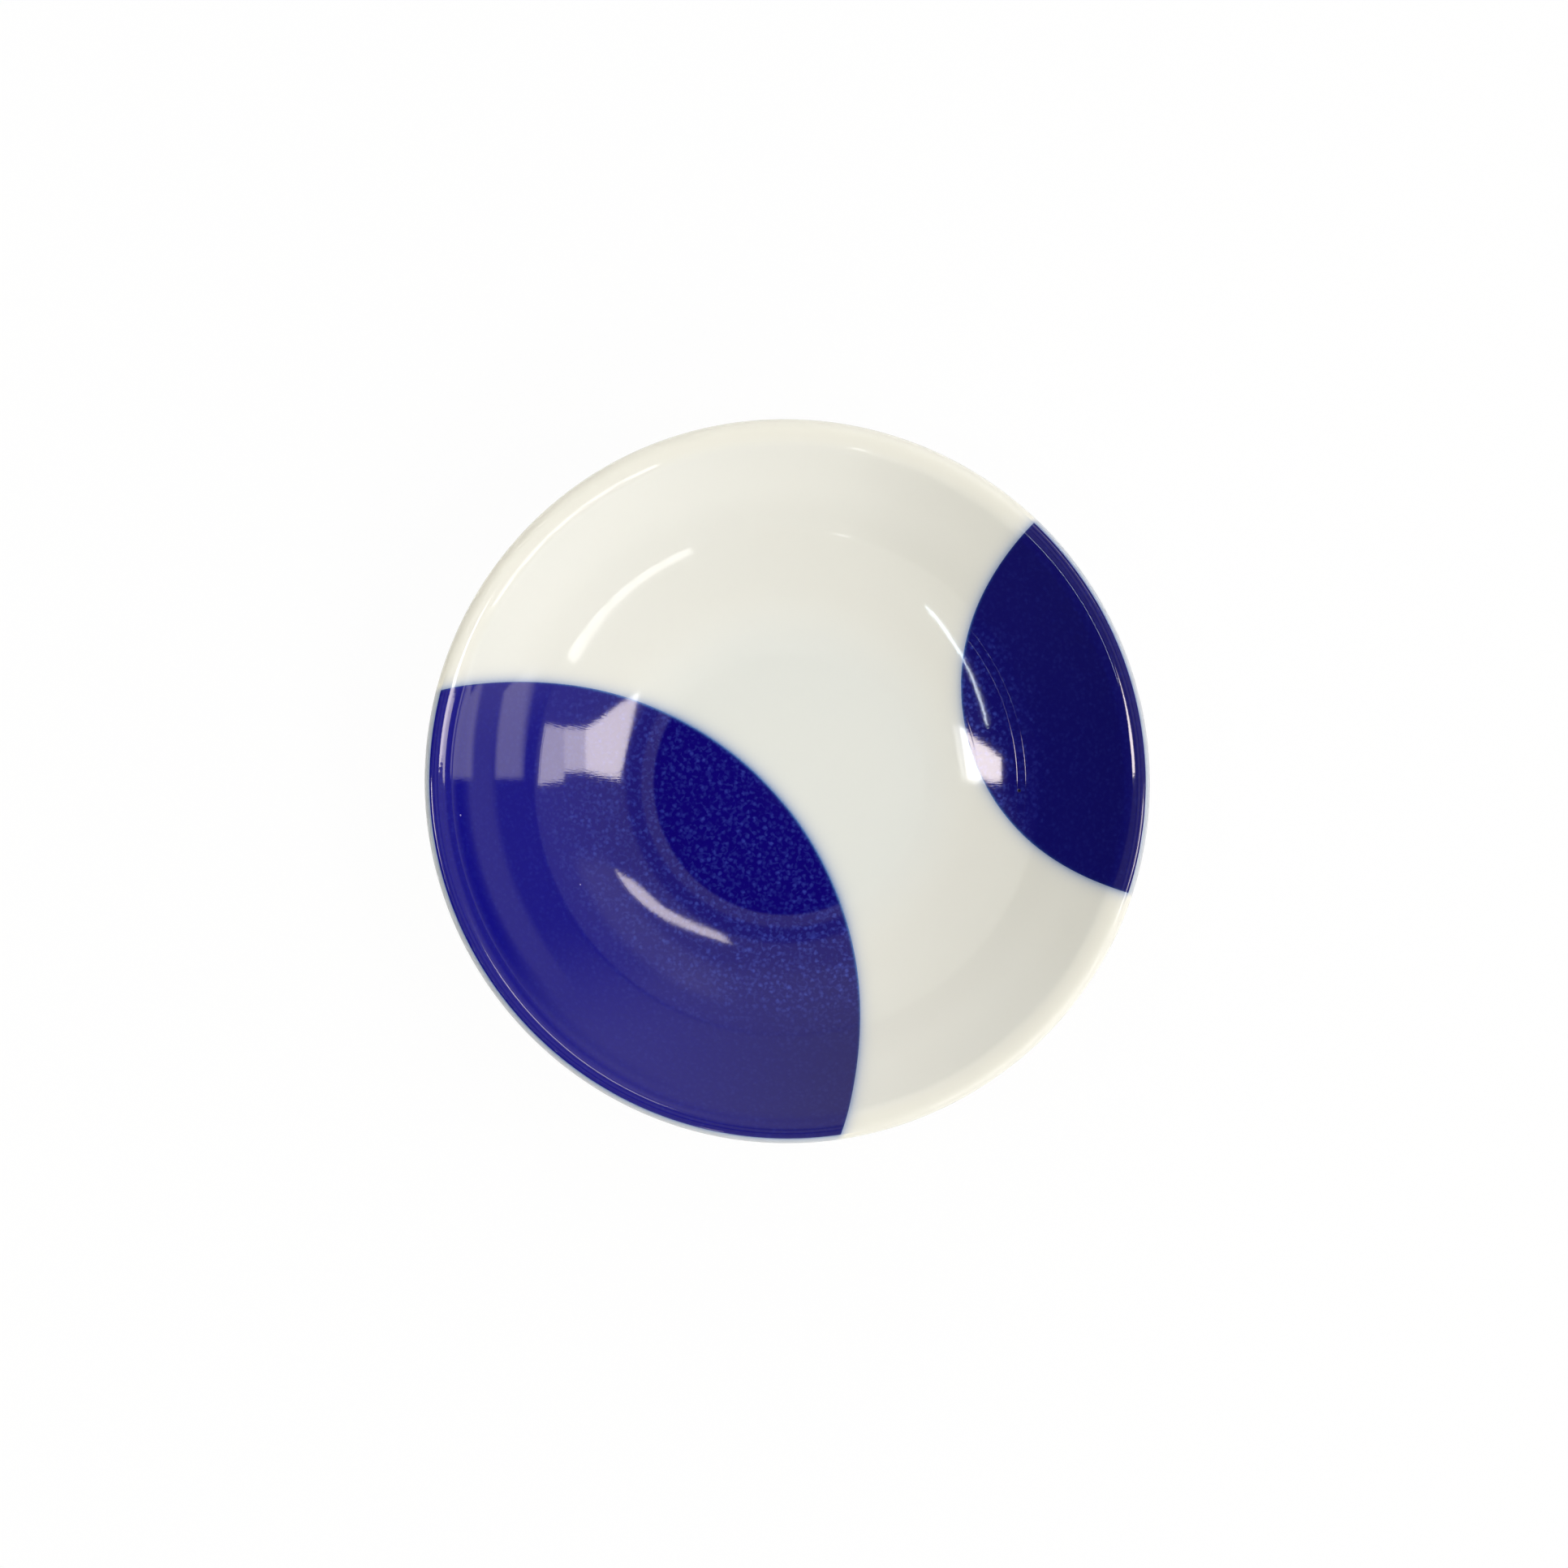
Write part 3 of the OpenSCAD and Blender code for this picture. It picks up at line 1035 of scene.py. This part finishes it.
def make_lamp(name, x, y, length, width, turn, brightness):
    light = bpy.data.lights.new(name, "AREA")
    light.shape = "RECTANGLE"
    light.size = length
    light.size_y = width
    light.color = LAMP_COLOUR
    light.energy = brightness * math.pi * length * width
    lamp = bpy.data.objects.new(name, light)
    bpy.context.scene.collection.objects.link(lamp)
    lamp.location = (x, y, LAMP_HEIGHT)
    lamp.rotation_euler = (0, 0, math.radians(turn))
    lamp.visible_camera = False
    return lamp


def make_lamp_row(name, middle, inner, width, start, end, panels, brightness, colour):
    step = (end - start) / panels
    length = 2 * inner * math.tan(math.radians(step / 2))
    distance = inner + width / 2
    for k in range(panels):
        angle = start + (k + 0.5) * step
        x = middle[0] + distance * math.cos(math.radians(angle))
        y = middle[1] + distance * math.sin(math.radians(angle))
        lamp = make_lamp("%s_%d" % (name, k), x, y, length, width, angle + 90, brightness)
        lamp.data.color = colour


def pane_shine(graph, x, y, corners, softness):
    """1 between the corners of a pane, with soft edges."""
    shine = 1.0
    for (x0, y0), (x1, y1) in zip(corners, corners[1:] + corners[:1]):
        length = math.hypot(x1 - x0, y1 - y0)
        turn_x = (y0 - y1) / length
        turn_y = (x1 - x0) / length
        inward = graph.add(
            graph.times(graph.math("SUBTRACT", x, x0), turn_x),
            graph.times(graph.math("SUBTRACT", y, y0), turn_y),
        )
        soft = abs(turn_x) * softness[0] + abs(turn_y) * softness[1]
        shine = graph.times(shine, graph.ease(inward, -soft, soft))
    return shine


def make_window(name, *panes):
    """A lamp that shines only in its panes."""
    softness = FAR_SOFTNESS.get(name, PANE_SOFTNESS)
    corners = [corner for pane in panes for corner in pane[1:]]
    low = [min(c[i] for c in corners) - softness[i] for i in (0, 1)]
    high = [max(c[i] for c in corners) + softness[i] for i in (0, 1)]
    middle = [(a + b) / 2 for a, b in zip(low, high)]
    lamp = make_lamp(name, *middle, high[0] - low[0], high[1] - low[1], 0, 1.0)
    lamp.data.use_nodes = True
    graph = Graph(lamp.data.node_tree)
    x, y, _ = graph.split(graph.node("ShaderNodeNewGeometry").outputs["Position"])
    shines = []
    for brightness, *pane in panes:
        shines.append(graph.times(pane_shine(graph, x, y, pane, softness), brightness))
    graph.put(lamp.data.node_tree.nodes["Emission"].inputs["Strength"], graph.add(*shines))


def make_soft_lamp(name, angle, brightness, colour):
    lamp = make_lamp(name, 0, 0, SOFT_SIZE, SOFT_SIZE, 0, brightness)
    lamp.data.color = colour
    turn = math.radians(angle)
    lean = math.radians(SOFT_TILT)
    way = Vector((math.sin(lean) * math.cos(turn), math.sin(lean) * math.sin(turn), math.cos(lean)))
    lamp.location = way * SOFT_DISTANCE
    lamp.rotation_euler = (0, lean, turn)
    lamp.visible_glossy = False


make_lamp("front", *FRONT_LAMP)
for lamp_name, values in WINDOWS.items():
    make_window(lamp_name, *values)
for lamp_name, values in LAMP_ROWS.items():
    make_lamp_row(lamp_name, *values)
for lamp_name, values in SOFT_LAMPS.items():
    make_soft_lamp(lamp_name, *values)


# The room that shows in the glaze: its darkest direction, nearly straight above
DARK_WAY = (0.026, 0.030, 0.9992)
# How much the edge of the dim left side runs askew
SLANT = 0.37
# Light of the ceiling and of the walls, share of it that the left side keeps, least light, and colour
CEILING = 0.6
WALLS = 0.2
LEFT_LEAST = 0.05
ROOM_LEAST = 0.03
ROOM_COLOUR = (1.0, 0.995, 0.985)

# Patches of the room: brightness, and edges by direction, each with where it starts and where it is full
PATCHES = {
    "dim_ring": (-0.37, ("above", 0.885, 0.902), ("above", 0.938, 0.915)),
    "glow": (0.4, ("above", 0.855, 0.830), ("above", 0.775, 0.800), ("y", 0.20, 0.28), ("x", 0.12, 0.30)),
    "ceiling_back": (0.22, ("y", 0.50, 0.58)),
    "behind": (0.6, ("y", 0.45, 0.85)),
    "in_front": (0.8, ("y", -0.05, -0.6)),
    "band": (0.4, ("z", 0.345, 0.30), ("z", 0.19, 0.22), ("x", 0.2, 0.5)),
    "gloom": (-0.16, ("z", 0.20, 0.165), ("x", 0.2, 0.5)),
    "walls": (1.0, ("z", 0.74, 0.64)),
    "past_left": (0.40, ("slant", -0.585, -0.53)),
    "past_half_left": (0.55, ("x", -0.5, -0.15)),
    "off_dark": (1.0, ("above", 0.9995, 0.9950)),
}


def make_world():
    """Soft room light: dark above with a dim ring round it, dim on the left, bright in front and behind."""
    world = bpy.data.worlds.new("studio")
    world.use_nodes = True
    graph = Graph(world.node_tree)
    way = graph.node("ShaderNodeTexCoord").outputs["Generated"]
    near = graph.node("ShaderNodeVectorMath", operation="DOT_PRODUCT")
    graph.put(near.inputs[0], way)
    near.inputs[1].default_value = DARK_WAY
    x, y, z = graph.split(way)
    slant = graph.add(x, graph.times(y, SLANT))
    measures = {"x": x, "y": y, "z": z, "above": near.outputs["Value"], "slant": slant}

    def patch(name):
        brightness, *edges = PATCHES[name]
        shares = [graph.ease(measures[measure], start, full) for measure, start, full in edges]
        return graph.times(*shares, brightness)

    ceiling = graph.add(CEILING, patch("dim_ring"), patch("glow"), patch("ceiling_back"))
    back = graph.math("MAXIMUM", patch("behind"), patch("band"))
    walls = graph.add(WALLS, patch("gloom"), back, patch("in_front"))
    low = patch("walls")
    high = graph.math("SUBTRACT", 1.0, low)
    level = graph.add(graph.times(high, ceiling), graph.times(low, walls))
    left = graph.add(LEFT_LEAST, patch("past_left"), patch("past_half_left"))
    level = graph.add(graph.times(level, left, patch("off_dark")), ROOM_LEAST)
    background = world.node_tree.nodes["Background"]
    graph.put(background.inputs["Color"], ROOM_COLOUR)
    graph.put(background.inputs["Strength"], level)
    bpy.context.scene.world = world


make_world()

# The photograph, in pixels: its frame, and the radius and the middle of the rim in it
PHOTO_PX = 1932
RIM_PX = 447.0
RIM_CENTRE_PX = (970.7, 961.5)

# The camera: lens, sensor, nearest distance that it shows, and its lean to the left and to the front
LENS_MM = 105
SENSOR_MM = 36
CAMERA_NEAR = 10 * MM
CAMERA_LEAN_LEFT = math.radians(1.5)
CAMERA_LEAN_FRONT = math.radians(1.7)


def make_camera():
    pixel = RIM_R / RIM_PX
    distance = PHOTO_PX * pixel * LENS_MM / SENSOR_MM
    aim = Vector((
        -(RIM_CENTRE_PX[0] - PHOTO_PX / 2) * pixel,
        (RIM_CENTRE_PX[1] - PHOTO_PX / 2) * pixel,
        LIP_Z,
    ))
    data = bpy.data.cameras.new("camera")
    data.lens = LENS_MM
    data.sensor_width = SENSOR_MM
    data.clip_start = CAMERA_NEAR
    camera = bpy.data.objects.new("camera", data)
    bpy.context.scene.collection.objects.link(camera)
    way = Vector((-math.tan(CAMERA_LEAN_LEFT), -math.tan(CAMERA_LEAN_FRONT), 1)).normalized()
    camera.location = aim + way * distance
    side = Vector((0, 1, 0)).cross(way).normalized()
    camera.rotation_euler = Matrix((side, way.cross(side), way)).transposed().to_euler()
    bpy.context.scene.camera = camera


make_camera()
bpy.context.scene.view_settings.view_transform = "Standard"
